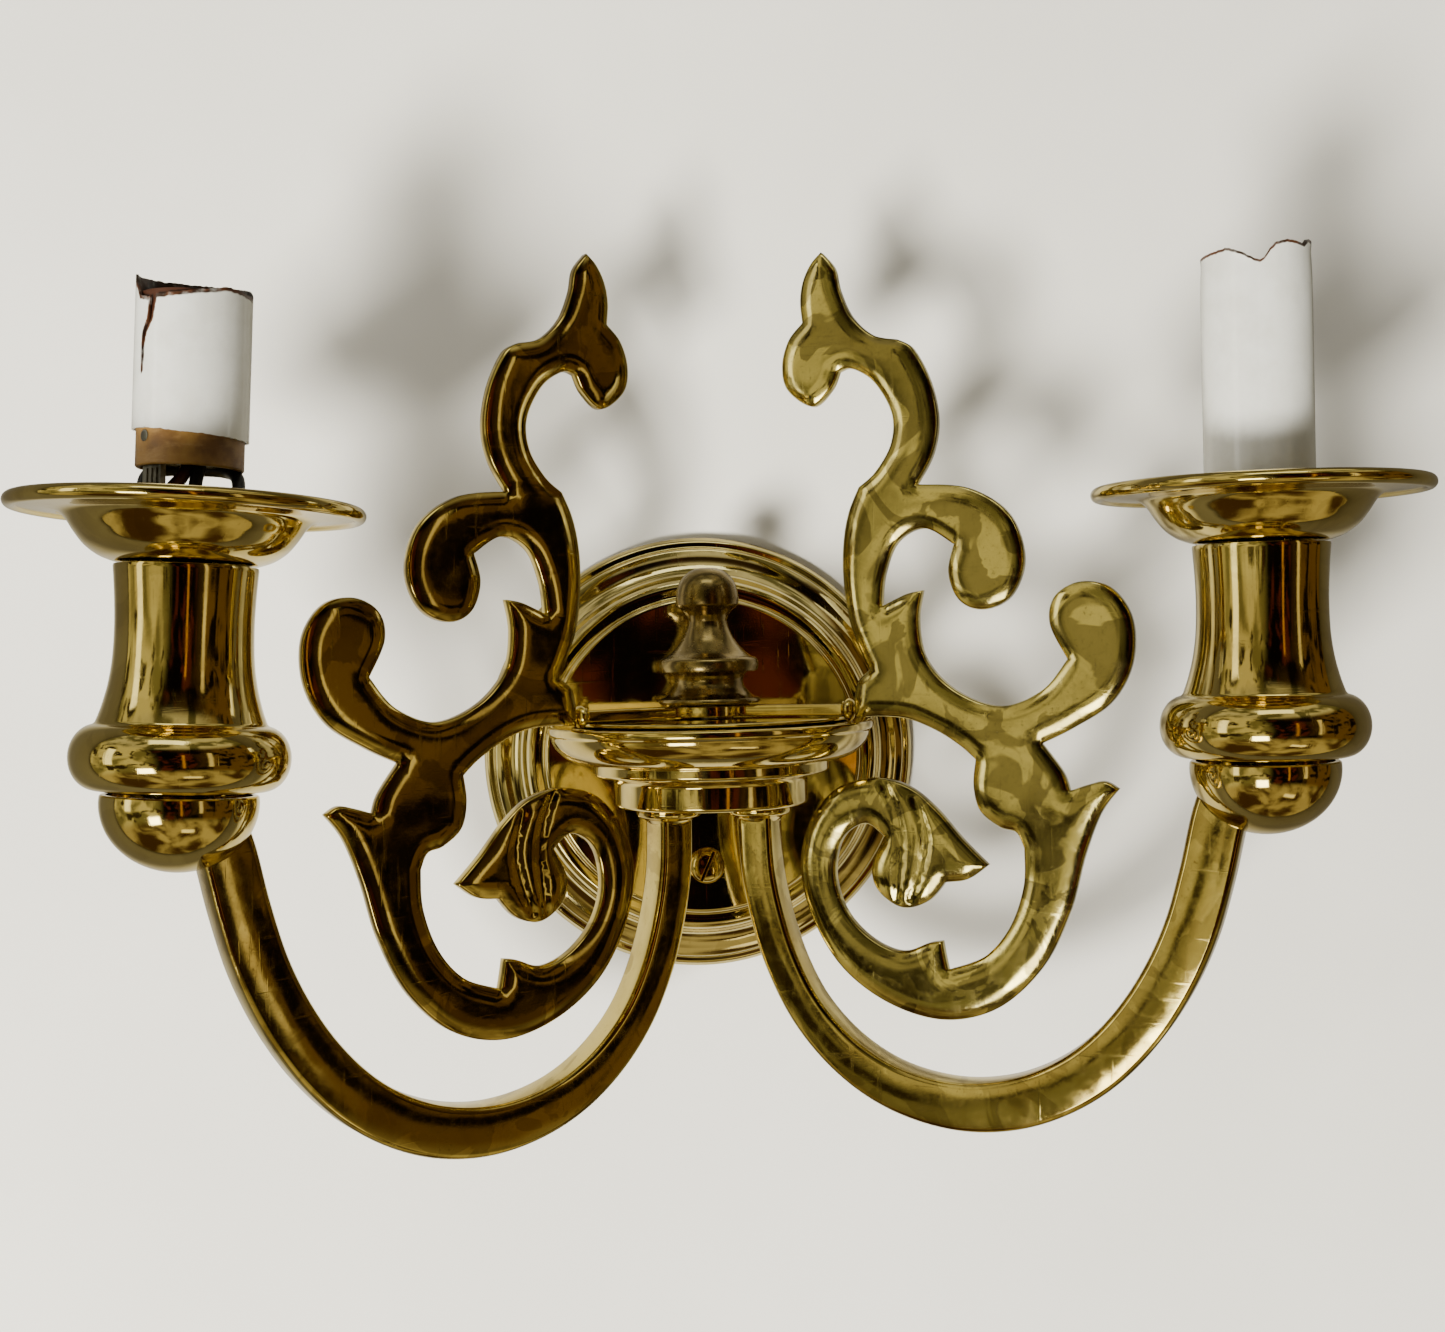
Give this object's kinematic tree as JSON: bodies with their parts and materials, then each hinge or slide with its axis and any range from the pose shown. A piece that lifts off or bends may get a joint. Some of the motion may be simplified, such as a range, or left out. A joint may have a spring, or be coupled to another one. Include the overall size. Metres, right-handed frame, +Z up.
{
  "type": "wall sconce",
  "caption": "Polished brass wall light: round stepped backplate, half-bowl body with finial, curved square arms, flat openwork scrolls, and turned cups, drip pans and electric candle sleeves.",
  "frame": {"origin": "centre of the backplate's rim circle, on the wall face", "axes": "+Z up, +Y into the wall, so the light stands out towards -Y; +X to the right seen from the room"},
  "size_m": [0.2867, 0.1306, 0.1978],
  "materials": {
    "polished_brass": "polished, with patches of brown tarnish",
    "worn_brass": "dull and scratched",
    "steel": "zinc plated, dulled",
    "white_plastic": "glossy, browned by heat at the broken rims",
    "fibre": "tan vulcanised fibre",
    "phenolic": "dark brown phenolic",
    "black_insulation": "flexible wire insulation",
    "red_insulation": "flexible wire insulation"
  },
  "bodies": {
    "fixture": {"backplate": "polished_brass", "crossbar": "steel", "wall_tube": "steel", "crossbar_nut": "steel", "body_nut": "steel", "mounting_screw_upper": "worn_brass", "mounting_screw_lower": "worn_brass", "body": "polished_brass", "body_lid": "polished_brass", "centre_rod": "steel", "rod_nut": "steel", "scroll_strap": "polished_brass", "finial": "polished_brass", "arm_left": "polished_brass", "arm_nut_left": "steel", "scroll_left": "polished_brass", "lead_black_left": "black_insulation", "lead_red_left": "red_insulation", "cup_ball_left": "polished_brass", "candle_cup_left": "polished_brass", "drip_pan_left": "polished_brass", "cup_tube_left": "steel", "pan_nut_left": "steel", "socket_bracket_left": "steel", "socket_body_left": "phenolic", "screw_shell_left": "worn_brass", "centre_contact_left": "worn_brass", "liner_left": "fibre", "liner_rivet_left": "steel", "arm_right": "polished_brass", "arm_nut_right": "steel", "scroll_right": "polished_brass", "lead_black_right": "black_insulation", "lead_red_right": "red_insulation", "cup_ball_right": "polished_brass", "candle_cup_right": "polished_brass", "drip_pan_right": "polished_brass", "cup_tube_right": "steel", "pan_nut_right": "steel", "socket_bracket_right": "steel", "socket_body_right": "phenolic", "screw_shell_right": "worn_brass", "centre_contact_right": "worn_brass", "liner_right": "fibre", "liner_rivet_right": "steel"},
    "candle_left": {"candle_sleeve_left": "white_plastic"},
    "candle_right": {"candle_sleeve_right": "white_plastic"}
  },
  "joints": [
    {"name": "left_sleeve_lift", "type": "slide", "parent": "fixture", "child": "candle_left", "axis": [0.0521, 0.0283, 0.9982], "range_m": [0, 0.036]},
    {"name": "right_sleeve_lift", "type": "slide", "parent": "fixture", "child": "candle_right", "axis": [0, 0, 1], "range_m": [0, 0.058]}
  ]
}
